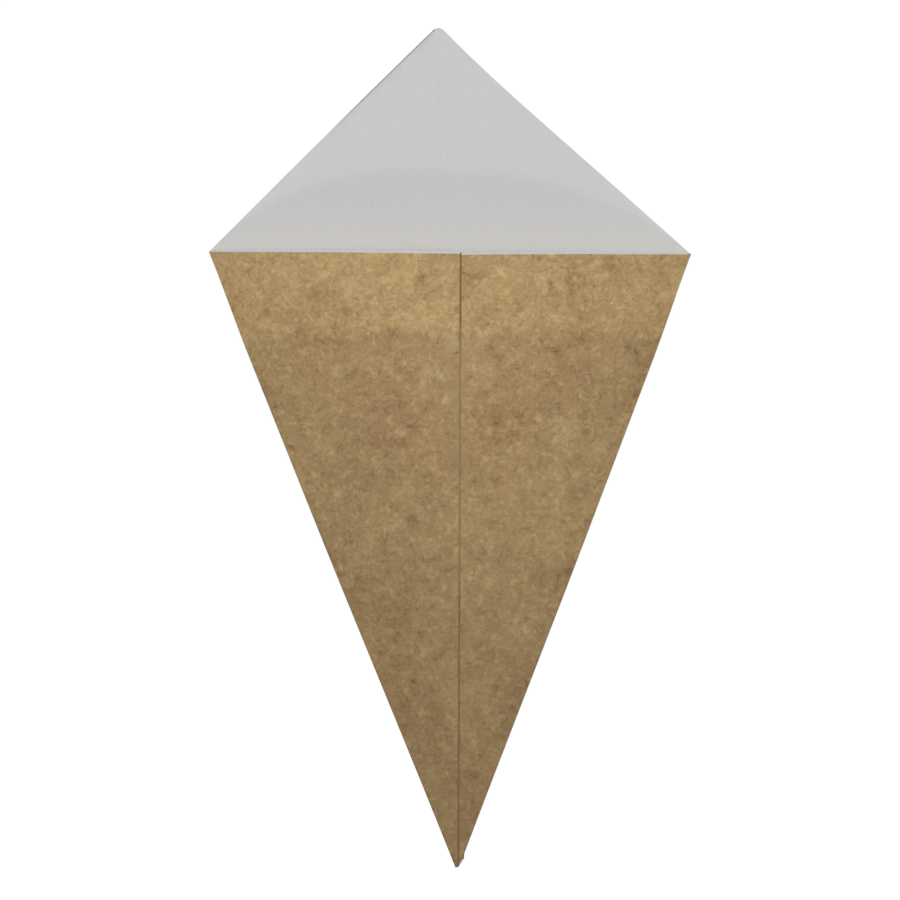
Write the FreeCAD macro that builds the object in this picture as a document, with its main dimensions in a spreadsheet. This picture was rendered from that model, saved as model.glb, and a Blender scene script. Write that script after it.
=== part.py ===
import FreeCAD, Part
import os

import Sketcher
from FreeCAD import Vector

# Cone cup folded from one blank of lined board and glued along a front seam.
# It lies on its back, sprung open a little. Every fold, panel and seam runs out
# from the tip, which is the origin while the cup is being drawn.
# X runs across the mouth, Y from the tip to the point of the back, Z upwards.

# Driving dimensions, in millimetres and degrees.
SIZES = [
    ("board", 0.35, "thickness of the board"),
    ("crease_radius", 0.1, "half the gap left inside the right fold"),
    ("left_angle", 21.7, "left fold, turned from the long axis"),
    ("right_angle", 20.6, "right fold, turned from the long axis"),
    ("left_fold", 228.5, "length of the left fold"),
    ("right_fold", 225.8, "length of the right fold"),
    ("seam_lean", 0.2, "seam, turned right from the long axis"),
    ("seam_length", 210.8, "tip to mouth along the seam"),
    ("seam_step", 0.25, "how far the right front panel stops short of the left"),
    ("glue_angle", 3.5, "glue strip under the left front panel, seen from the tip"),
    ("back_lean", 1.35, "back crease, turned left from the long axis"),
    ("back_length", 286.9, "tip to the middle of the rounded point"),
    ("point_radius", 3.1, "rounding of the point"),
    ("right_edge_sweep", 4700, "radius of the right edge of the back, curved inwards"),
    ("fold_rise", 9, "rise of both folds at the mouth"),
    ("mouth_height", 20, "height of the mouth at the seam"),
    ("rest_width", 30, "flat strip along the back crease, at the mouth"),
    ("score_width", 0.8, "width of the scored crease inside the back"),
    ("score_depth", 0.1, "depth of the scored crease"),
    ("score_start", 20, "where the scored crease begins, from the tip"),
    ("tip_left", 0.15, "where the left panels begin at the tip"),
    ("tip_right", 1.9, "where the right fold begins at the tip"),
    ("tip_setback", 0.9, "how much later the right front panel begins"),
    ("margin", 12, "reach of the cutting outlines past the board"),
]

doc = FreeCAD.newDocument("cone_cup")
sheet = doc.addObject("Spreadsheet::Sheet", "sizes")
for row, (alias, number, note) in enumerate(SIZES, start=1):
    sheet.set(f"A{row}", note)
    sheet.set(f"B{row}", str(number))
    sheet.setAlias(f"B{row}", alias)
doc.recompute()

body = doc.addObject("PartDesign::Body", "paper_cone")
body.Label = "paper_cone"

# Outside radius of each fold. The left one also wraps the glue strip.
RIGHT_ROUND = "(sizes.crease_radius + sizes.board)"
LEFT_ROUND = "(sizes.crease_radius + 1.5 * sizes.board)"

# Corners of the mouth, on the outside of the folds, and the ends of its edges.
LEFT_X = f"(-sizes.left_fold * sin(sizes.left_angle) - {LEFT_ROUND} * cos(sizes.left_angle))"
LEFT_Y = f"(sizes.left_fold * cos(sizes.left_angle) - {LEFT_ROUND} * sin(sizes.left_angle))"
RIGHT_X = f"(sizes.right_fold * sin(sizes.right_angle) + {RIGHT_ROUND} * cos(sizes.right_angle))"
RIGHT_Y = f"(sizes.right_fold * cos(sizes.right_angle) - {RIGHT_ROUND} * sin(sizes.right_angle))"
SEAM_Y = "(sizes.seam_length * cos(sizes.seam_lean))"
STEP_Y = f"({SEAM_Y} - sizes.seam_step)"
POINT_X = "(-sizes.back_length * sin(sizes.back_lean))"
POINT_Y = "(sizes.back_length * cos(sizes.back_lean))"
SLEEVE_END = f"({POINT_Y} + sizes.margin)"
OUT_TOP = f"({SLEEVE_END} + sizes.margin)"
OUT_LEFT = f"(-{SLEEVE_END} * tan(sizes.left_angle) - sizes.margin)"
OUT_RIGHT = f"({SLEEVE_END} * tan(sizes.right_angle) + sizes.margin)"


def value(expression):
    """Number that an expression on the sheet stands for."""
    return float(body.evalExpression(expression))


def at(x, y):
    """Place in a sketch given by two expressions."""
    return Vector(value(x), value(y), 0)


def sketch_on(role, name, offset):
    """Sketch parallel to one of the body's planes, moved along its normal."""
    sketch = body.newObject("Sketcher::SketchObject", name)
    plane = next(f for f in body.Origin.OriginFeatures if f.Role == role)
    sketch.AttachmentSupport = [(plane, "")]
    sketch.MapMode = "FlatFace"
    sketch.setExpression("AttachmentOffset.Base.z", offset)
    return sketch


def bind(sketch, kind, *where_and_expression):
    """Dimension whose size is an expression on the sheet."""
    *where, expression = where_and_expression
    index = sketch.addConstraint(Sketcher.Constraint(kind, *where, value(expression)))
    sketch.setExpression(f"Constraints[{index}]", expression)


def hold(sketch, edge, end, x, y):
    """Point of the sketch held at two coordinates."""
    bind(sketch, "DistanceX", -1, 1, edge, end, x)
    bind(sketch, "DistanceY", -1, 1, edge, end, y)


def arc(centre, start, end):
    """Arc that turns left about its centre, from start to end."""
    circle = Part.Circle(centre, Vector(0, 0, 1), (start - centre).Length)
    return Part.ArcOfCircle(circle, circle.parameter(start), circle.parameter(end))


def facing(centre, goal, radius):
    """Point of a circle on the side away from another circle's centre."""
    return centre + (centre - goal).normalize() * radius


def bowed(start, end, bow):
    """Centre of a circle through two points, bowed to the right of the way between."""
    half = (end - start) / 2
    side = Vector(half.y, -half.x, 0).normalize()
    radius = (half.Length ** 2 + bow ** 2) / (2 * bow)
    return start + half - side * (radius - bow)


def section_places(station):
    """Expressions for the points that a section across the long axis hangs on."""
    share = f"{station} / {SEAM_Y}"
    shut = f"2 * {RIGHT_ROUND}"
    return {
        "left_x": f"-{station} * tan(sizes.left_angle)",
        "left_z": f"{LEFT_ROUND} + sizes.fold_rise * {share}",
        "right_x": f"{station} * tan(sizes.right_angle)",
        "right_z": f"{RIGHT_ROUND} + sizes.fold_rise * {share}",
        "strip_left": f"-{station} * tan(sizes.back_lean) - sizes.rest_width / 2 * {share}",
        "strip_right": f"-{station} * tan(sizes.back_lean) + sizes.rest_width / 2 * {share}",
        "seam_x": f"{station} * tan(sizes.seam_lean)",
        "seam_z": f"{shut} + (sizes.mouth_height - sizes.board - {shut}) * {share}",
    }


def back_centre(strip_end, fold, radius):
    """Centre of the arc that leaves the flat strip and runs into a fold."""
    run = fold.x - strip_end.x
    lift = fold.y - radius - strip_end.y
    return Vector(strip_end.x, strip_end.y + radius + (run ** 2 + lift ** 2) / (2 * lift), 0)


def hold_front(sketch, front_r, step, front_l, place, step_x, inset):
    """Front arcs about one centre, a board apart, with the step between them."""
    seam = at(place["seam_x"], f"{place['seam_z']} - {inset}")
    board = Vector(0, value("sizes.board"), 0)
    under, over = sketch.addGeometry([Part.Point(seam), Part.Point(seam + board)], True)
    sketch.addConstraint([
        Sketcher.Constraint("Coincident", front_r, 2, step, 1),
        Sketcher.Constraint("Coincident", step, 2, front_l, 1),
        Sketcher.Constraint("Coincident", front_r, 3, front_l, 3),
        Sketcher.Constraint("Vertical", step),
        Sketcher.Constraint("PointOnObject", under, 1, front_r),
        Sketcher.Constraint("PointOnObject", over, 1, front_l),
    ])
    bind(sketch, "DistanceX", -1, 1, step, 1, step_x)
    hold(sketch, under, 1, place["seam_x"], f"{place['seam_z']} - {inset}")
    hold(sketch, over, 1, place["seam_x"], f"{place['seam_z']} - {inset} + sizes.board")


def outside_section(name, station):
    """Outside of the sleeve, with both folds rounded and the seam's cut edge."""
    sketch = sketch_on("XZ_Plane", name, f"-{station}")
    place = section_places(station)
    left = at(place["left_x"], place["left_z"])
    right = at(place["right_x"], place["right_z"])
    strip_left = at(place["strip_left"], "0")
    strip_right = at(place["strip_right"], "0")
    seam = at(place["seam_x"], place["seam_z"])
    board = Vector(0, value("sizes.board"), 0)
    left_round = value(LEFT_ROUND)
    right_round = value(RIGHT_ROUND)
    back_left = back_centre(strip_left, left, left_round)
    back_right = back_centre(strip_right, right, right_round)
    front = bowed(right, left, seam.y - right.y - right_round)
    right_low = facing(right, back_right, right_round)
    right_high = facing(right, front, right_round)
    left_high = facing(left, front, left_round)
    left_low = facing(left, back_left, left_round)
    strip, back_r, fold_r, front_r, step, front_l, fold_l, back_l = sketch.addGeometry([
        Part.LineSegment(strip_left, strip_right),
        arc(back_right, strip_right, right_low),
        arc(right, right_low, right_high),
        arc(front, right_high, seam),
        Part.LineSegment(seam, seam + board),
        arc(front, seam + board, left_high),
        arc(left, left_high, left_low),
        arc(back_left, left_low, strip_left),
    ], False)
    tangent = [(strip, back_r), (back_r, fold_r), (fold_r, front_r)]
    tangent += [(front_l, fold_l), (fold_l, back_l), (back_l, strip)]
    for first, second in tangent:
        sketch.addConstraint(Sketcher.Constraint("Tangent", first, 2, second, 1))
    sketch.addConstraint(Sketcher.Constraint("Horizontal", strip))
    hold(sketch, strip, 1, place["strip_left"], "0")
    bind(sketch, "DistanceX", -1, 1, strip, 2, place["strip_right"])
    hold(sketch, fold_r, 3, place["right_x"], place["right_z"])
    hold(sketch, fold_l, 3, place["left_x"], place["left_z"])
    bind(sketch, "Radius", fold_r, RIGHT_ROUND)
    bind(sketch, "Radius", fold_l, LEFT_ROUND)
    hold_front(sketch, front_r, step, front_l, place, place["seam_x"], "0")
    return sketch


def inside_section(name, station):
    """Hollow of the sleeve, with creased folds and the glue strip's cut edge."""
    sketch = sketch_on("XZ_Plane", name, f"-{station}")
    place = section_places(station)
    step_x = f"{station} * tan(sizes.seam_lean - sizes.glue_angle)"
    right_half = f"({RIGHT_ROUND} - sizes.board)"
    left_half = f"({LEFT_ROUND} - sizes.board)"
    corners = {
        "strip_left": (place["strip_left"], "sizes.board"),
        "strip_right": (place["strip_right"], "sizes.board"),
        "right_low": (place["right_x"], f"{place['right_z']} - {right_half}"),
        "right_high": (place["right_x"], f"{place['right_z']} + {right_half}"),
        "left_high": (place["left_x"], f"{place['left_z']} + {left_half}"),
        "left_low": (place["left_x"], f"{place['left_z']} - {left_half}"),
    }
    point = {key: at(x, z) for key, (x, z) in corners.items()}
    seam = at(place["seam_x"], f"{place['seam_z']} - sizes.board")
    board = Vector(0, value("sizes.board"), 0)
    back_left = back_centre(point["strip_left"], point["left_low"], 0)
    back_right = back_centre(point["strip_right"], point["right_low"], 0)
    front = bowed(point["right_high"], point["left_high"], seam.y - point["right_high"].y)
    step_foot = Vector(value(step_x), seam.y, 0)
    strip, back_r, fold_r, front_r, step, front_l, fold_l, back_l = sketch.addGeometry([
        Part.LineSegment(point["strip_left"], point["strip_right"]),
        arc(back_right, point["strip_right"], point["right_low"]),
        Part.LineSegment(point["right_low"], point["right_high"]),
        arc(front, point["right_high"], step_foot),
        Part.LineSegment(step_foot, step_foot + board),
        arc(front, step_foot + board, point["left_high"]),
        Part.LineSegment(point["left_high"], point["left_low"]),
        arc(back_left, point["left_low"], point["strip_left"]),
    ], False)
    sketch.addConstraint([
        Sketcher.Constraint("Tangent", strip, 2, back_r, 1),
        Sketcher.Constraint("Coincident", back_r, 2, fold_r, 1),
        Sketcher.Constraint("Coincident", fold_r, 2, front_r, 1),
        Sketcher.Constraint("Coincident", front_l, 2, fold_l, 1),
        Sketcher.Constraint("Coincident", fold_l, 2, back_l, 1),
        Sketcher.Constraint("Tangent", back_l, 2, strip, 1),
    ])
    hold(sketch, strip, 1, *corners["strip_left"])
    hold(sketch, strip, 2, *corners["strip_right"])
    hold(sketch, fold_r, 1, *corners["right_low"])
    hold(sketch, fold_r, 2, *corners["right_high"])
    hold(sketch, fold_l, 1, *corners["left_high"])
    hold(sketch, fold_l, 2, *corners["left_low"])
    hold_front(sketch, front_r, step, front_l, place, step_x, "sizes.board")
    return sketch


def ruled_loft(kind, name, section, start, end):
    """Straight-lined loft between two sections across the long axis."""
    near = section(f"{name}_at_tip", start)
    far = section(f"{name}_at_end", end)
    doc.recompute()
    feature = body.newObject(kind, name)
    feature.Profile = near
    feature.Sections = [far]
    feature.Ruled = True
    doc.recompute()


def join(sketch, edges, corners):
    """Close a ring of edges. Each edge given a corner starts there."""
    for first, second in zip(edges, edges[1:] + edges[:1]):
        sketch.addConstraint(Sketcher.Constraint("Coincident", first, 2, second, 1))
    for edge, (x, y) in zip(edges, corners):
        hold(sketch, edge, 1, x, y)


def outline(name, offset, corners):
    """Sketch seen from above, with straight edges from corner to corner."""
    sketch = sketch_on("XY_Plane", name, offset)
    points = [at(x, y) for x, y in corners]
    lines = [Part.LineSegment(a, b) for a, b in zip(points, points[1:] + points[:1])]
    join(sketch, list(sketch.addGeometry(lines, False)), corners)
    return sketch


def pocket(name, sketch):
    """Cut away everything above the sketch, inside its outline."""
    feature = body.newObject("PartDesign::Pocket", name)
    feature.Profile = sketch
    feature.Reversed = True
    feature.Type = "ThroughAll"
    doc.recompute()


# Sleeve: a cone of board that is open at both ends and doubled at the seam.
ruled_loft("PartDesign::AdditiveLoft", "outside", outside_section, "sizes.tip_left", SLEEVE_END)
ruled_loft("PartDesign::SubtractiveLoft", "inside", inside_section, "sizes.tip_left", SLEEVE_END)

# Rest strip: the middle of the back is a flat plate, as wide as the strip above.
near_tip = section_places("sizes.tip_left")
far_end = section_places(SLEEVE_END)
STRIP = [
    (near_tip["strip_left"], "sizes.tip_left"),
    (near_tip["strip_right"], "sizes.tip_left"),
    (far_end["strip_right"], SLEEVE_END),
    (far_end["strip_left"], SLEEVE_END),
]
gap = body.newObject("PartDesign::Pocket", "strip_gap")
gap.Profile = outline("strip_gap_outline", RIGHT_ROUND, STRIP)
gap.Type = "ThroughAll"
doc.recompute()
plate = body.newObject("PartDesign::Pad", "rest_strip")
plate.Profile = outline("rest_strip_outline", "0", STRIP)
plate.setExpression("Length", "sizes.board")
doc.recompute()

# Mouth: the front panels end in a straight edge, and the back goes on above it.
pocket("mouth", outline("front_edge", f"{LEFT_ROUND} + sizes.fold_rise", [
    (LEFT_X, LEFT_Y),
    (f"{SEAM_Y} * tan(sizes.seam_lean)", SEAM_Y),
    (f"{STEP_Y} * tan(sizes.seam_lean)", STEP_Y),
    (RIGHT_X, RIGHT_Y),
    (OUT_RIGHT, RIGHT_Y),
    (OUT_RIGHT, OUT_TOP),
    (OUT_LEFT, OUT_TOP),
    (OUT_LEFT, LEFT_Y),
]))


def back_outline():
    """Outline of the waste around the back, from the left corner of the mouth."""
    sketch = sketch_on("XY_Plane", "back_edges", "0")
    point = at(POINT_X, POINT_Y)
    left = at(LEFT_X, LEFT_Y)
    right = at(RIGHT_X, RIGHT_Y)
    radius = value("sizes.point_radius")
    sweep = value("sizes.right_edge_sweep")
    rise_left = (point - left).normalize()
    rise_right = (point - right).normalize()
    left_end = point + Vector(-rise_left.y, rise_left.x, 0) * radius
    right_end = point + Vector(rise_right.y, -rise_right.x, 0) * radius
    chord = right - right_end
    side = Vector(-chord.y, chord.x, 0).normalize()
    sweep_centre = (right + right_end) / 2 + side * (sweep ** 2 - chord.Length ** 2 / 4) ** 0.5
    waste = [(OUT_RIGHT, RIGHT_Y), (OUT_RIGHT, OUT_TOP), (OUT_LEFT, OUT_TOP), (OUT_LEFT, LEFT_Y)]
    corners = [right] + [at(x, y) for x, y in waste] + [left]
    lines = [Part.LineSegment(a, b) for a, b in zip(corners, corners[1:])]
    left_edge, tip_arc, right_edge, *rest = sketch.addGeometry([
        Part.LineSegment(left, left_end),
        arc(point, right_end, left_end),
        arc(sweep_centre, right_end, right),
    ] + lines, False)
    sketch.addConstraint([
        Sketcher.Constraint("Tangent", left_edge, 2, tip_arc, 2),
        Sketcher.Constraint("Tangent", tip_arc, 1, right_edge, 1),
        Sketcher.Constraint("Coincident", right_edge, 2, rest[0], 1),
        Sketcher.Constraint("Coincident", rest[-1], 2, left_edge, 1),
    ])
    for first, second in zip(rest, rest[1:]):
        sketch.addConstraint(Sketcher.Constraint("Coincident", first, 2, second, 1))
    for edge, (x, y) in zip(rest, [(RIGHT_X, RIGHT_Y)] + waste):
        hold(sketch, edge, 1, x, y)
    hold(sketch, left_edge, 1, LEFT_X, LEFT_Y)
    hold(sketch, tip_arc, 3, POINT_X, POINT_Y)
    bind(sketch, "Radius", tip_arc, "sizes.point_radius")
    bind(sketch, "Radius", right_edge, "sizes.right_edge_sweep")
    return sketch


pocket("back", back_outline())

# Tip: cut off on the slant, with the right front panel set back a little.
TIP_X = f"(sizes.tip_right * tan(sizes.right_angle) + {RIGHT_ROUND} / cos(sizes.right_angle))"
pocket("tip", outline("tip_slant", "0", [
    (f"-{LEFT_ROUND}", "0"),
    (f"-{LEFT_ROUND}", "-sizes.margin"),
    (OUT_RIGHT, "-sizes.margin"),
    (OUT_RIGHT, "sizes.tip_right"),
    (TIP_X, "sizes.tip_right"),
]))
SETBACK_Y = f"(sizes.tip_right * {LEFT_ROUND} / ({TIP_X} + {LEFT_ROUND}) + sizes.tip_setback)"
pocket("tip_front", outline("tip_setback", RIGHT_ROUND, [
    ("0", "0"),
    (OUT_RIGHT, "0"),
    (OUT_RIGHT, "sizes.tip_right + sizes.tip_setback"),
    (TIP_X, "sizes.tip_right + sizes.tip_setback"),
    (f"{SETBACK_Y} * tan(sizes.seam_lean)", SETBACK_Y),
]))


def score_section(name, station):
    """Notch across the crease, open upwards at the inside of the back."""
    sketch = sketch_on("XZ_Plane", name, f"-{station}")
    crease_x = f"-{station} * tan(sizes.back_lean)"
    notch = [
        (f"{crease_x} - sizes.score_width", "sizes.board + sizes.score_depth"),
        (crease_x, "sizes.board - sizes.score_depth"),
        (f"{crease_x} + sizes.score_width", "sizes.board + sizes.score_depth"),
    ]
    points = [at(x, z) for x, z in notch]
    lines = [Part.LineSegment(a, b) for a, b in zip(points, points[1:] + points[:1])]
    join(sketch, list(sketch.addGeometry(lines, False)), notch)
    return sketch


# Crease of the back: a shallow line scored into the inside, out to the point.
ruled_loft("PartDesign::SubtractiveLoft", "score", score_section, "sizes.score_start", SLEEVE_END)

# The middle of the cup's box stands over the origin.
box = body.Shape.optimalBoundingBox(False, False)
body.Placement = FreeCAD.Placement(Vector(-box.Center.x, -box.Center.y, 0), FreeCAD.Rotation())
doc.recompute()

for obj in doc.Objects:
    if "Invalid" in obj.State or "Error" in obj.State:
        raise ValueError(f"{obj.Name} failed: {obj.State}")
    if isinstance(getattr(obj, "FullyConstrained", None), bool) and not obj.FullyConstrained:
        raise ValueError(f"{obj.Name} isn't fully held")
if body.Shape.isNull() or not body.Shape.isValid() or len(body.Shape.Solids) != 1:
    raise ValueError("the cup isn't one sound solid")

os.makedirs("parts", exist_ok=True)
body.Shape.exportStep(f"parts/{body.Label}.step")
print(body.Label, round(body.Shape.Volume), "mm3,", body.Shape.optimalBoundingBox(False, False))
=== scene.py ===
"""Cone paper cup lying on its back, seen from straight above.

The cup is one folded sheet of lined board: kraft outside, white inside, pale
along its cut edges. It is drawn in millimetres from its tip, x across, y towards
the point of the back and z up, and then set in its place on the table.
"""

import math

import bmesh
import bpy
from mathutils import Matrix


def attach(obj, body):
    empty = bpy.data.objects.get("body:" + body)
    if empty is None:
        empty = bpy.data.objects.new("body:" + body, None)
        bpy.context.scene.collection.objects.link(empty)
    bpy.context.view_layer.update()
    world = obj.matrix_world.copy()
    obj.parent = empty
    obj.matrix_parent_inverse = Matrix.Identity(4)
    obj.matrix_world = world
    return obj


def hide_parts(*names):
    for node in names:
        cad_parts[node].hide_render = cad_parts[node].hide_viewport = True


MM = 0.001

# Where the tip stands on the table, in millimetres.
TIP_X = 2.594
TIP_Y = -145.035

# The board's thickness, and the angles of its folds, seam, glue strip and crease.
BOARD = 0.35
LEFT_ANGLE = math.radians(21.7)
RIGHT_ANGLE = math.radians(20.6)
SEAM_LEAN = math.radians(0.2)
GLUE_ANGLE = math.radians(3.5)
BACK_LEAN = math.radians(1.35)

# Lengths from the tip to the mouth, along both folds and up the seam.
LEFT_FOLD = 228.46
RIGHT_FOLD = 225.77
SEAM_Y = 210.8 * math.cos(SEAM_LEAN)
SEAM_STEP = 0.25

# Outer radii of the folds, and the form of the mouth.
LEFT_ROUND = 0.625
RIGHT_ROUND = 0.45
FOLD_RISE = 9.0
MOUTH_HEIGHT = 19.99
REST_WIDTH = 30.0

# The panels run on past the mouth before they are trimmed.
SLEEVE_START = 0.22
SLEEVE_END = 298.82
ROWS = 60
FOLD_STEPS = 10
BACK_STEPS = 24
FRONT_STEPS = 36

# Corners of the outline as seen from above, in the middle of the board.
LEFT_BEND = LEFT_ROUND - BOARD / 2
RIGHT_BEND = RIGHT_ROUND - BOARD / 2
MOUTH_LEFT = (
    -LEFT_FOLD * math.sin(LEFT_ANGLE) - LEFT_BEND * math.cos(LEFT_ANGLE),
    LEFT_FOLD * math.cos(LEFT_ANGLE) - LEFT_BEND * math.sin(LEFT_ANGLE),
)
MOUTH_RIGHT = (
    RIGHT_FOLD * math.sin(RIGHT_ANGLE) + RIGHT_BEND * math.cos(RIGHT_ANGLE),
    RIGHT_FOLD * math.cos(RIGHT_ANGLE) - RIGHT_BEND * math.sin(RIGHT_ANGLE),
)
MOUTH_SEAM = (SEAM_Y * math.tan(SEAM_LEAN), SEAM_Y)
POINT = (-6.6, 287.0)
POINT_ROUND = 2.8
POINT_STEPS = 12

# How far the back's edges leave a straight line. The sweep's shape is the number
# that makes share * (1 - share) ** 3 reach 1 where it is highest.
LEFT_BOW = 0.85
RIGHT_BOW = 0.25
RIGHT_SWEEP = 1.1
SWEEP_SHAPE = 9.48

# The slanting cut at the tip. The right front panel ends a little further back.
TIP_LEFT = (-LEFT_ROUND, 0.07)
TIP_RIGHT = (1.9 * math.tan(RIGHT_ANGLE) + RIGHT_ROUND / math.cos(RIGHT_ANGLE), 1.97)
TIP_SETBACK = 0.9

# The right fold opens at the tip, outside a line across and up to a row.
OPEN_X = 0.3
OPEN_Y = 3.2
OPENING = 1.5

# How far both folds bow outwards halfway along.
FOLD_SWELL = 0.65

# Materials of the board, in the order of its slots.
KRAFT, LINING, CUT_EDGE, SEAM_EDGE = range(4)


def on_table(x, y, z):
    """Place in the scene, in metres, of a point drawn from the tip."""
    return ((x + TIP_X) * MM, (y + TIP_Y) * MM, z * MM)


def from_tip(place):
    """A point of the scene as drawn from the tip, in millimetres."""
    return place[0] / MM - TIP_X, place[1] / MM - TIP_Y, place[2] / MM


# Cross-sections of the sleeve. A point is a complex number: x across, z up.

def around(centre, radius, start, end, steps):
    """Points of an arc between two angles, both ends included."""
    turns = [start + (end - start) * i / steps for i in range(steps + 1)]
    return [centre + radius * complex(math.cos(t), math.sin(t)) for t in turns]


def heading(way):
    """Angle of a direction, from 0 to a full turn."""
    return math.atan2(way.imag, way.real) % (2 * math.pi)


def folds(station):
    """Centres of the left and the right fold."""
    rise = FOLD_RISE * station / SEAM_Y
    left = complex(-station * math.tan(LEFT_ANGLE), LEFT_ROUND + rise)
    right = complex(station * math.tan(RIGHT_ANGLE), RIGHT_ROUND + rise)
    return left, right


def back_arc(strip_end, fold, fold_round):
    """Centre of the arc between the flat strip of the back and a fold."""
    run = fold.real - strip_end
    radius = (run ** 2 + fold.imag ** 2 - fold_round ** 2) / (2 * (fold.imag - fold_round))
    return complex(strip_end, radius)


def front_arc(station):
    """Centre and radius of the outside of the right front panel."""
    left, right = folds(station)
    shut = 2 * RIGHT_ROUND
    height = shut + (MOUTH_HEIGHT - BOARD - shut) * station / SEAM_Y
    seam = complex(station * math.tan(SEAM_LEAN), height)
    rows = []
    for fold, gap in ((left, LEFT_ROUND - BOARD), (right, RIGHT_ROUND)):
        way = seam - fold
        rows.append((way.real, way.imag, gap, (gap ** 2 - abs(fold) ** 2 + abs(seam) ** 2) / 2))
    (a, b, e, p), (c, d, f, q) = rows
    det = a * d - b * c
    base = complex((p * d - b * q) / det, (a * q - p * c) / det)
    slope = complex((b * f - e * d) / det, (e * c - a * f) / det)
    offset = base - seam
    square = abs(slope) ** 2 - 1
    cross = 2 * (slope.real * offset.real + slope.imag * offset.imag)
    root = math.sqrt(cross ** 2 - 4 * square * abs(offset) ** 2)
    radius = 2 * abs(offset) ** 2 / (root - cross)
    return base + slope * radius, radius


def back_section(station):
    """Middle of the board across the back, from the left fold to the right one."""
    left, right = folds(station)
    crease = -station * math.tan(BACK_LEAN)
    strip = REST_WIDTH / 2 * station / SEAM_Y
    left_arc = back_arc(crease - strip, left, LEFT_ROUND)
    right_arc = back_arc(crease + strip, right, RIGHT_ROUND)
    left_low = heading(left - left_arc)
    right_low = heading(right - right_arc)
    down = 1.5 * math.pi
    half = BOARD / 2
    line = around(left, LEFT_BEND, math.pi, left_low, FOLD_STEPS)
    line += around(left_arc, left_arc.imag - half, left_low, down, BACK_STEPS)[1:]
    line += [complex(crease + strip * share, half) for share in (-0.5, -0.06, 0, 0.06, 0.5)]
    line += around(right_arc, right_arc.imag - half, down, right_low, BACK_STEPS)
    line += around(right, RIGHT_BEND, right_low, 2 * math.pi, FOLD_STEPS)[1:]
    return line


def left_front_section(station):
    """Middle of the left front panel, from its fold to its cut edge at the seam."""
    left, right = folds(station)
    centre, radius = front_arc(station)
    radius += BOARD / 2
    high = heading(left - centre)
    edge = math.acos((station * math.tan(SEAM_LEAN) - centre.real) / radius)
    line = around(left, LEFT_BEND, math.pi, high, FOLD_STEPS)
    return line + around(centre, radius, high, edge, FRONT_STEPS)[1:]


def right_front_section(station):
    """Middle of the right front panel, from its fold to the end of the glue strip."""
    left, right = folds(station)
    centre, radius = front_arc(station)
    radius -= BOARD / 2
    high = heading(right - centre)
    edge = math.acos((station * math.tan(SEAM_LEAN - GLUE_ANGLE) - centre.real) / radius)
    line = around(right, RIGHT_BEND, 0, high, FOLD_STEPS)
    return line + around(centre, radius, high, edge, FRONT_STEPS)[1:]


# Modelling helpers.

def draw_line(points):
    """Extrude a single vertex from point to point, in the mesh being edited."""
    bpy.ops.mesh.select_all(action="DESELECT")
    bpy.ops.mesh.primitive_circle_add(vertices=3, radius=0.01, location=points[0])
    bpy.ops.mesh.merge(type="CENTER")
    for here, there in zip(points, points[1:]):
        step = [b - a for a, b in zip(here, there)]
        bpy.ops.mesh.extrude_vertices_move(TRANSFORM_OT_translate={"value": step})


def panel(name, section):
    """Straight-lined panel between the section at the tip and the one past the mouth."""
    bpy.ops.object.select_all(action="DESELECT")
    bpy.ops.mesh.primitive_plane_add(size=0.01)
    piece = bpy.context.object
    piece.name = name
    bpy.ops.object.mode_set(mode="EDIT")
    bpy.ops.mesh.delete(type="VERT")
    for station in (SLEEVE_START, SLEEVE_END):
        draw_line([on_table(p.real, station, p.imag) for p in section(station)])
    bpy.ops.mesh.select_all(action="SELECT")
    bpy.ops.mesh.bridge_edge_loops(number_cuts=ROWS - 1, interpolation="LINEAR")
    bpy.ops.object.mode_set(mode="OBJECT")
    return piece


def pick_faces(piece, wanted):
    """Select the faces whose middle, as drawn from the tip, is wanted."""
    bpy.ops.mesh.select_all(action="DESELECT")
    mesh = bmesh.from_edit_mesh(piece.data)
    for face in mesh.faces:
        face.select_set(wanted(*from_tip(face.calc_center_median())))
    mesh.select_flush(True)
    bmesh.update_edit_mesh(piece.data)


def pick_corners(piece, wanted):
    """Select the corners of the mesh being edited that are wanted."""
    bpy.ops.mesh.select_all(action="DESELECT")
    mesh = bmesh.from_edit_mesh(piece.data)
    for vert in mesh.verts:
        vert.select_set(wanted(vert))
    mesh.select_flush(True)
    bmesh.update_edit_mesh(piece.data)


def pick_places(piece, wanted):
    """Select the corners whose place, as drawn from the tip, is wanted."""
    pick_corners(piece, lambda vert: wanted(*from_tip(vert.co)))


def trim(piece, start, end, wanted=lambda x, y, z: True):
    """Cut along a line seen from above and drop what lies to the left of its way."""
    bpy.context.view_layer.objects.active = piece
    bpy.ops.object.mode_set(mode="EDIT")
    pick_faces(piece, wanted)
    length = math.dist(start, end)
    bpy.ops.mesh.bisect(
        plane_co=on_table(*start, 0),
        plane_no=((start[1] - end[1]) / length, (end[0] - start[0]) / length, 0),
        clear_outer=True,
        threshold=1e-7,
    )
    bpy.ops.object.mode_set(mode="OBJECT")


def press_down(piece, start, end, depth, reach):
    """Lower the board beside the seam, between two distances from the tip."""
    bpy.context.view_layer.objects.active = piece
    bpy.ops.object.mode_set(mode="EDIT")
    pick_places(piece, lambda x, y, z: start < y < end and abs(x - y * math.tan(SEAM_LEAN)) < 1.5)
    bpy.ops.transform.translate(
        value=(0, 0, -depth * MM),
        use_proportional_edit=True,
        proportional_edit_falloff="SMOOTH",
        proportional_size=reach * MM,
    )
    bpy.ops.object.mode_set(mode="OBJECT")


def tangent_end(corner, side):
    """Where an edge of the back, from a corner of the mouth, meets the point's round."""
    way = complex(*POINT) - complex(*corner)
    return complex(*POINT) + POINT_ROUND * side * 1j * way / abs(way)


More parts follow.
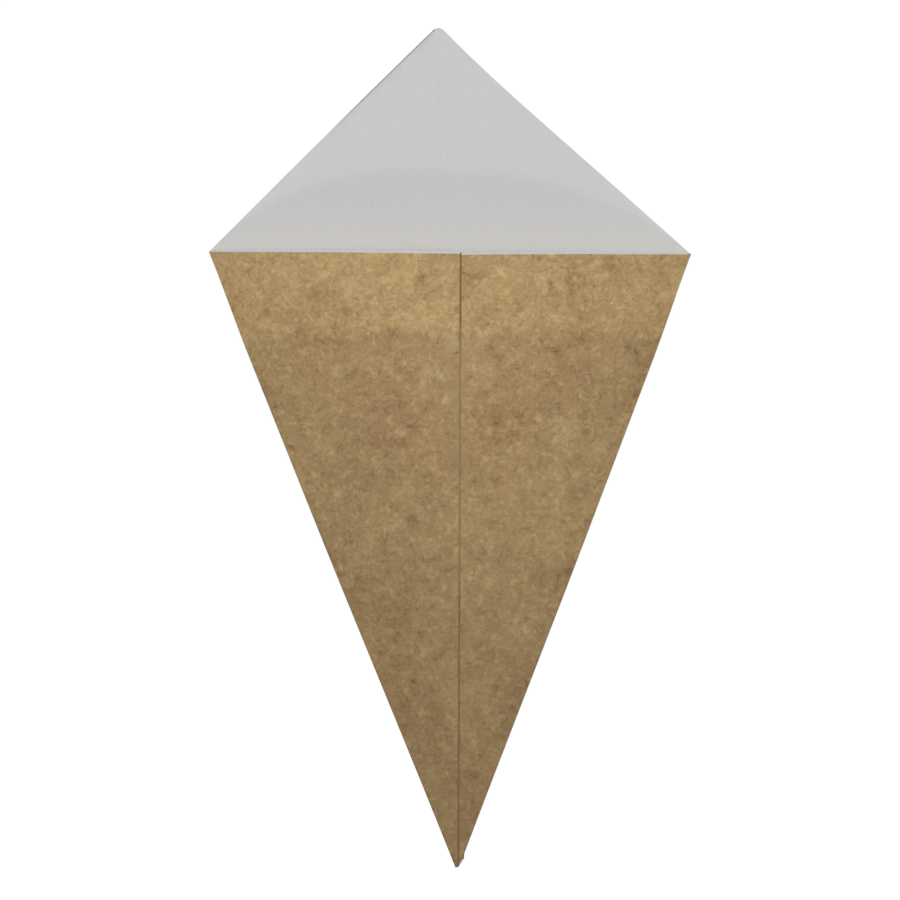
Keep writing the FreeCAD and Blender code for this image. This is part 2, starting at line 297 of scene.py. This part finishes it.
def bow_edge(piece, side, end, corner, bow):
    """Widen the back on one side of its crease, from the mouth's corner up to the point."""
    bpy.context.view_layer.objects.active = piece
    bpy.ops.object.mode_set(mode="EDIT")
    levels = {round(from_tip(vert.co)[1], 2) for vert in bmesh.from_edit_mesh(piece.data).verts}
    for level in sorted(y for y in levels if corner[1] < y < end.imag):
        crease = -level * math.tan(BACK_LEAN)
        pick_places(piece, lambda x, y, z: abs(y - level) < 0.0051 and (x - crease) * side > 0)
        share = (end.imag - level) / (end.imag - corner[1])
        half_width = abs(end.real + (corner[0] - end.real) * share - crease)
        bpy.ops.transform.resize(
            value=(1 + bow(share) / half_width, 1, 1),
            center_override=on_table(crease, level, 0),
        )
    bpy.ops.object.mode_set(mode="OBJECT")


def swelling(y):
    """How much wider than straight the folds run at a distance from the tip."""
    rise = min(max((y - 10) / 110, 0), 1)
    fall = min(max((y - 175) / 34, 0), 1)
    return FOLD_SWELL * rise * rise * (3 - 2 * rise) * (1 - fall * fall * (3 - 2 * fall))


def draw_in(piece, wanted, move):
    """Move the corners of a piece that are wanted, by a step in millimetres."""
    bpy.ops.object.mode_set(mode="EDIT")
    pick_corners(piece, wanted)
    bpy.ops.transform.translate(value=[part * MM for part in move])
    bpy.ops.object.mode_set(mode="OBJECT")


def touches(vert, material):
    """Whether a corner of the board belongs to a face of this material."""
    return any(face.material_index == material for face in vert.link_faces)


def at_the_rim(vert):
    """Whether a corner of the board is on the rim of the front panels."""
    x, y, z = from_tip(vert.co)
    return 209 < y < 213 and z > 10.2 and touches(vert, CUT_EDGE)


def left_of_the_point(vert):
    """Whether a corner of the board is on the back's left edge, near its point."""
    x, y, z = from_tip(vert.co)
    return y > 254 and x < POINT[0] - 1.5 and touches(vert, CUT_EDGE)


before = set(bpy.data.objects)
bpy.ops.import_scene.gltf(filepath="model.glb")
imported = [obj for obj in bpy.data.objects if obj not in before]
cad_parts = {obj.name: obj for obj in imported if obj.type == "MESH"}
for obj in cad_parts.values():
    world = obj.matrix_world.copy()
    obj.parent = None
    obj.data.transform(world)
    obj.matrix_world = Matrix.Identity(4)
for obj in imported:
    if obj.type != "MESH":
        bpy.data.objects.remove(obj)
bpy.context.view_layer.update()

# The three parts of the sheet between its folds and edges.
back = panel("folded_board", back_section)
left_front = panel("left_front", left_front_section)
right_front = panel("right_front", right_front_section)

# Mouth: both front panels end in a straight edge.
trim(left_front, MOUTH_LEFT, MOUTH_SEAM)
trim(right_front, (MOUTH_SEAM[0], SEAM_Y - SEAM_STEP), MOUTH_RIGHT)

# The right panel doesn't cling to the left one all the way along the seam.
press_down(right_front, 183, 213, 0.45, 14)
press_down(right_front, 75, 95, 0.25, 10)
press_down(right_front, 4, 24, 0.2, 4)

# Back: trimmed straight on both sides, up to its round point.
LEFT_END = tangent_end(MOUTH_LEFT, 1)
RIGHT_END = tangent_end(MOUTH_RIGHT, -1)
trim(back, MOUTH_LEFT, (LEFT_END.real, LEFT_END.imag))
trim(back, (RIGHT_END.real, RIGHT_END.imag), MOUTH_RIGHT)

# The rounded point, as tangents from one edge round to the other.
left_turn = heading(LEFT_END - complex(*POINT))
right_turn = heading(RIGHT_END - complex(*POINT))
for step in range(1, POINT_STEPS):
    turn = right_turn + (left_turn - right_turn) * step / POINT_STEPS
    out = complex(math.cos(turn), math.sin(turn))
    touch = complex(*POINT) + POINT_ROUND * out
    ahead = touch - 1j * out
    trim(
        back,
        (touch.real, touch.imag),
        (ahead.real, ahead.imag),
        lambda x, y, z: y > POINT[1] - 8,
    )

# Its left edge bows outwards, and its right one is drawn in near the point.
bow_edge(back, -1, LEFT_END, MOUTH_LEFT, lambda share: LEFT_BOW * 4 * share * (1 - share))
bow_edge(back, 1, RIGHT_END, MOUTH_RIGHT, lambda share: (
    RIGHT_BOW * 4 * share * (1 - share) - RIGHT_SWEEP * SWEEP_SHAPE * share * (1 - share) ** 3
))

# Tip: cut off on the slant, with the right front panel a little further back.
for piece, setback in ((back, 0), (left_front, 0), (right_front, TIP_SETBACK)):
    trim(piece, (TIP_RIGHT[0], TIP_RIGHT[1] + setback), (TIP_LEFT[0], TIP_LEFT[1] + setback))

# One sheet: the panels meet along the folds.
bpy.ops.object.select_all(action="DESELECT")
for piece in (back, left_front, right_front):
    piece.select_set(True)
bpy.context.view_layer.objects.active = back
bpy.ops.object.join()
board = back
bpy.ops.object.mode_set(mode="EDIT")
bpy.ops.mesh.select_all(action="SELECT")
bpy.ops.mesh.remove_doubles(threshold=1e-6)

# At the tip the right fold opens a little.
pick_places(board, lambda x, y, z: x > OPEN_X and y < OPEN_Y)
bpy.ops.transform.resize(value=(OPENING, 1, 1), center_override=on_table(OPEN_X, 2, 0))

# Both folds bow outwards a little, halfway along.
row = (SLEEVE_END - SLEEVE_START) / ROWS
for number in range(3, 42):
    height = SLEEVE_START + row * number
    pick_places(board, lambda x, y, z: abs(y - height) < 0.1)
    half_width = height * math.tan(RIGHT_ANGLE)
    bpy.ops.transform.resize(
        value=(1 + swelling(height) / half_width, 1, 1),
        center_override=on_table(0, height, 0),
    )

# The outsides face out, so that the kraft side is the one seen from above.
bpy.ops.mesh.select_all(action="SELECT")
bpy.ops.mesh.normals_make_consistent(inside=False)
bpy.ops.object.mode_set(mode="OBJECT")
lowest = min(board.data.polygons, key=lambda face: face.center.z)
if lowest.normal.z > 0:
    bpy.ops.object.mode_set(mode="EDIT")
    bpy.ops.mesh.flip_normals()
    bpy.ops.object.mode_set(mode="OBJECT")


# Finishes.

# Share of a surface's own colour that the lamps bring back from it.
LIGHT_LEVEL = 0.86


def linear(red, green, blue):
    """Base colour for a colour as it looks on screen, from 0 to 255."""
    parts = [((value / 255 + 0.055) / 1.055) ** 2.4 for value in (red, green, blue)]
    return [part / LIGHT_LEVEL for part in parts] + [1]


class Value:
    """A number in a shader. Arithmetic on it adds the Math nodes."""

    def __init__(self, finish, socket):
        self.finish = finish
        self.socket = socket

    def math(self, operation, first, second):
        """Math node of two numbers or values."""
        return self.finish.node("ShaderNodeMath", {"operation": operation}, [first, second])[0]

    def __add__(self, other):
        return self.math("ADD", self, other)

    __radd__ = __add__

    def __sub__(self, other):
        return self.math("SUBTRACT", self, other)

    def __rsub__(self, other):
        return self.math("SUBTRACT", other, self)

    def __mul__(self, other):
        return self.math("MULTIPLY", self, other)

    __rmul__ = __mul__

    def between(self, low, high):
        """0 below one number, 1 above another, and a smooth rise from one to the other."""
        settings = {"interpolation_type": "SMOOTHSTEP"}
        sockets = {"Value": self, "From Min": low, "From Max": high}
        return self.finish.node("ShaderNodeMapRange", settings, sockets)[0]


class Finish:
    """A material with a plain surface shader and the nodes that feed it."""

    def __init__(self, name, roughness):
        self.material = bpy.data.materials.new(name)
        self.material.use_nodes = True
        self.tree = self.material.node_tree
        self.surface = self.tree.nodes["Principled BSDF"]
        self.surface.inputs["Roughness"].default_value = roughness
        self.surface.inputs["Specular IOR Level"].default_value = 0.25
        self.place = self.node("ShaderNodeTexCoord")["Object"]

    def node(self, kind, settings=None, sockets=None):
        """Add a node: its settings first, then the numbers or links of its sockets."""
        node = self.tree.nodes.new(kind)
        for name, setting in (settings or {}).items():
            setattr(node, name, setting)
        sockets = sockets or {}
        for key, given in sockets.items() if isinstance(sockets, dict) else enumerate(sockets):
            if isinstance(given, Value):
                self.tree.links.new(given.socket, node.inputs[key])
            else:
                node.inputs[key].default_value = given
        outputs = {out.name: Value(self, out) for out in node.outputs}
        outputs.update({i: Value(self, out) for i, out in enumerate(node.outputs)})
        return outputs

    def blend(self, share, first, second):
        """Colour mixed from two."""
        settings = {"data_type": "RGBA"}
        return self.node("ShaderNodeMix", settings, {0: share, 6: first, 7: second})[2]

    def tinted(self, colour, tone, spread=(1, 1, 1)):
        """Colour made lighter or darker by a tone around 0, by each channel's share of it."""
        grey = self.node("ShaderNodeCombineColor", None, [1 + tone * share for share in spread])[0]
        settings = {"data_type": "RGBA", "blend_type": "MULTIPLY"}
        return self.node("ShaderNodeMix", settings, {0: 1.0, 6: colour, 7: grey})[2]

    def cloud(self, size, detail=2.0, stretch=(1, 1, 1), turn=0.0):
        """Noise from 0 to 1, with blobs about as wide as the size, in millimetres."""
        mapping = {
            "Vector": self.place,
            "Rotation": (0, 0, math.radians(turn)),
            "Scale": [size * MM / part for part in stretch],
        }
        vector = self.node("ShaderNodeMapping", {"vector_type": "TEXTURE"}, mapping)[0]
        noise = {"Vector": vector, "Scale": 1.0, "Detail": detail}
        return self.node("ShaderNodeTexNoise", None, noise)[0]

    def colour(self, value):
        """Feed the surface's colour."""
        self.tree.links.new(value.socket, self.surface.inputs["Base Color"])

    def relief(self, height, depth):
        """Feed the surface's bumps, with their depth in millimetres."""
        bump = self.node("ShaderNodeBump", None, {"Height": height, "Distance": depth * MM})
        self.tree.links.new(bump["Normal"].socket, self.surface.inputs["Normal"])


kraft = Finish("kraft_outside", 0.75)
along = kraft.node("ShaderNodeSeparateXYZ", None, [kraft.place])["Y"]
# Painted shade: the kraft darkens towards the tip, on top of the lamp's own falloff. Painted
# light: a lighter band of the kraft next to the mouth.
painted_shade_near_tip, halfway, painted_light_near_mouth = (
    linear(151, 125, 87.5),
    linear(158.6, 132.0, 92.4),
    linear(172, 144.6, 99.6),
)
paper = kraft.blend(along.between(-0.085, -0.020), painted_shade_near_tip, halfway)
paper = kraft.blend(along.between(0.0365, 0.0420), paper, painted_light_near_mouth)
mottle = kraft.cloud(8.0, detail=2.0) + kraft.cloud(24.0, detail=1.0) * 0.8 - 0.9
pale_flecks = kraft.cloud(3.6, detail=2.0).between(0.52, 0.78)
flecks = pale_flecks - kraft.cloud(4.4, detail=2.0).between(0.52, 0.80)
fibres = 0.0
for turn in (8, 34, 61, 88, 115, 142, 168):
    light = kraft.cloud(0.95, detail=1.0, stretch=(0.2, 1, 1), turn=turn)
    dark = kraft.cloud(1.05, detail=1.0, stretch=(0.22, 1, 1), turn=turn + 13)
    fibres = fibres + light.between(0.55, 0.78) - dark.between(0.55, 0.80)
tone = mottle * 0.50 + flecks * 0.28 + fibres * 0.15
speck = kraft.node("ShaderNodeTexVoronoi", None, {"Vector": kraft.place, "Scale": 150.0})
rare = kraft.node("ShaderNodeSeparateColor", None, [speck["Color"]])["Red"].between(0.90, 0.91)
dots = (1 - speck["Distance"].between(0.03, 0.07)) * rare
tone = tone - dots * 0.35
kraft.colour(kraft.tinted(paper, tone, (0.78, 1.0, 1.09)))
kraft.relief(fibres * 0.5 + mottle, 0.03)

white = Finish("white_inside", 0.6)
place = white.node("ShaderNodeSeparateXYZ", None, [white.place])
# Painted light: the lining is lighter and warmer just past the mouth, for the warm light that
# reaches the back under the front panels' rim.
painted_glow_at_mouth, at_point = linear(205.3, 203.0, 200.5), linear(200.8, 199.8, 198.8)
lining = white.blend(place["Y"].between(0.068, 0.092), painted_glow_at_mouth, at_point)
grain = (white.cloud(1.0, detail=3.0) - 0.5) * 0.11

# Painted shade along the back's crease: a faint darker line, 0.4 mm to either side of its middle.
across = place["X"] + place["Y"] * math.tan(BACK_LEAN)
crease = (TIP_X + TIP_Y * math.tan(BACK_LEAN)) * MM
rising = across.between(crease - 0.4 * MM, crease)
falling = across.between(crease, crease + 0.4 * MM)
white.colour(white.tinted(lining, grain - rising * (1 - falling) * 0.025))

edge = Finish("cut_edge", 0.8)
corners = edge.node("ShaderNodeSeparateXYZ", None, [edge.place])
pale = edge.blend(edge.cloud(0.8), linear(195, 195.5, 197.5), linear(202, 202.5, 205))
brown = corners["Y"].between(0.108, 0.122) * (1 - corners["X"].between(-0.0060, -0.0040))
edge.colour(edge.blend(brown, pale, linear(170, 165, 157)))

# The seam's cut edge is dark brown, partly its own core and partly painted shadow of the gap
# beside it:
# darkest near the mouth, at the tip and partway along, where the right panel is pressed down from
# it, and darker towards the tip as painted shade.
seam_core_and_shade = Finish("seam_core_and_painted_shade", 0.7)
along = seam_core_and_shade.node("ShaderNodeSeparateXYZ", None, [seam_core_and_shade.place])["Y"]
gap_shade = along.between(0.036, 0.044) + (1 - along.between(-0.128, -0.122))
gap_shade = gap_shade + along.between(-0.072, -0.064) * (1 - along.between(-0.052, -0.046)) * 0.8
line = seam_core_and_shade.blend(along.between(-0.085, -0.020), linear(132, 108, 76), linear(146, 120, 84))
line = seam_core_and_shade.blend(gap_shade, line, linear(134, 104, 66))
seam_core_and_shade.colour(seam_core_and_shade.tinted(line, (seam_core_and_shade.cloud(3.0) - 0.5) * 0.5))

for finish in (kraft, white, edge, seam_core_and_shade):
    board.data.materials.append(finish.material)

# The sheet gets its thickness, with the white lining inside and pale cut edges.
bpy.ops.object.select_all(action="DESELECT")
board.select_set(True)
bpy.context.view_layer.objects.active = board
bpy.ops.object.modifier_add(type="SOLIDIFY")
thickness = board.modifiers["Solidify"]
thickness.thickness = BOARD * MM
thickness.offset = 0
thickness.use_quality_normals = True
thickness.material_offset = LINING
thickness.material_offset_rim = CUT_EDGE
bpy.ops.object.modifier_apply(modifier="Solidify")

# The cut edge along the seam gets the dark finish that carries the painted gap shadow.
for face in board.data.polygons:
    x, y, z = from_tip(face.center)
    beside = abs(x - y * math.tan(SEAM_LEAN)) < 0.3
    if face.material_index == CUT_EDGE and face.normal.x > 0.7 and beside and y < 211:
        face.material_index = SEAM_EDGE

# Cut edges slant a little, so that they show from above: the seam's brown core with its painted
# gap shadow, the rim, and the back's left edge near the point.
draw_in(board, lambda vert: touches(vert, SEAM_EDGE) and touches(vert, KRAFT), (-0.1, 0, 0))
draw_in(board, lambda vert: touches(vert, SEAM_EDGE) and not touches(vert, KRAFT), (0.6, 0, 0))
draw_in(board, lambda vert: at_the_rim(vert) and touches(vert, KRAFT), (0, -0.2, 0))
draw_in(board, lambda vert: at_the_rim(vert) and not touches(vert, KRAFT), (0, 0.4, 0))
draw_in(
    board,
    lambda vert: left_of_the_point(vert) and not touches(vert, KRAFT),
    (0.38, -0.38, 0),
)
bpy.ops.object.shade_smooth_by_angle(angle=math.radians(40))

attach(board, "root")
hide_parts("paper_cone")

# Table, light and camera.
bpy.ops.object.select_all(action="DESELECT")
bpy.ops.mesh.primitive_plane_add(size=6, location=(0, 0, 0))
table = bpy.context.object
table.name = "table"
tabletop = Finish("white_table", 1.0)
tabletop.surface.inputs["Base Color"].default_value = (0.95, 0.95, 0.95, 1)
plain = Value(tabletop, tabletop.surface.outputs["BSDF"])
rays = tabletop.node("ShaderNodeLightPath")
seen = rays["Is Camera Ray"] + rays["Is Glossy Ray"] + rays["Is Transmission Ray"]
glow = tabletop.node("ShaderNodeEmission", None, {"Strength": 1.1})["Emission"]
shadowed = tabletop.node("ShaderNodeMixShader", None, [0.85, plain, glow])["Shader"]
shown = tabletop.node("ShaderNodeMixShader", None, [seen, plain, shadowed])["Shader"]
tabletop.tree.links.new(shown.socket, tabletop.tree.nodes["Material Output"].inputs["Surface"])
table.data.materials.append(tabletop.material)

world = bpy.data.worlds.new("room")
bpy.context.scene.world = world
world.use_nodes = True
world.node_tree.nodes["Background"].inputs["Color"].default_value = (1, 1, 1, 1)
world.node_tree.nodes["Background"].inputs["Strength"].default_value = 0.12

bpy.ops.object.light_add(type="AREA", location=(0, 0.16, 0.6), rotation=(math.radians(-14), 0, 0))
overhead = bpy.context.object
overhead.name = "soft_light_over_the_mouth"
overhead.data.shape = "DISK"
overhead.data.size = 0.45
overhead.data.energy = 2.75

bpy.ops.object.light_add(type="SUN", rotation=(math.radians(57.5), 0, math.radians(8.6)))
low_sun = bpy.context.object
low_sun.name = "low_light_from_the_tip"
low_sun.data.angle = math.radians(4.5)
low_sun.data.energy = 0.34

bpy.ops.object.camera_add(location=(0.000004, -0.000835, 1.0), rotation=(0, 0, 0))
camera = bpy.context.object
camera.data.lens = 115.9
camera.data.sensor_width = 36.0
camera.data.clip_start = 0.05
camera.data.clip_end = 20
bpy.context.scene.camera = camera

render = bpy.context.scene.render
render.engine = "CYCLES"
render.resolution_x = 900
render.resolution_y = 900
bpy.context.scene.cycles.samples = 128
bpy.context.scene.view_settings.view_transform = "Standard"
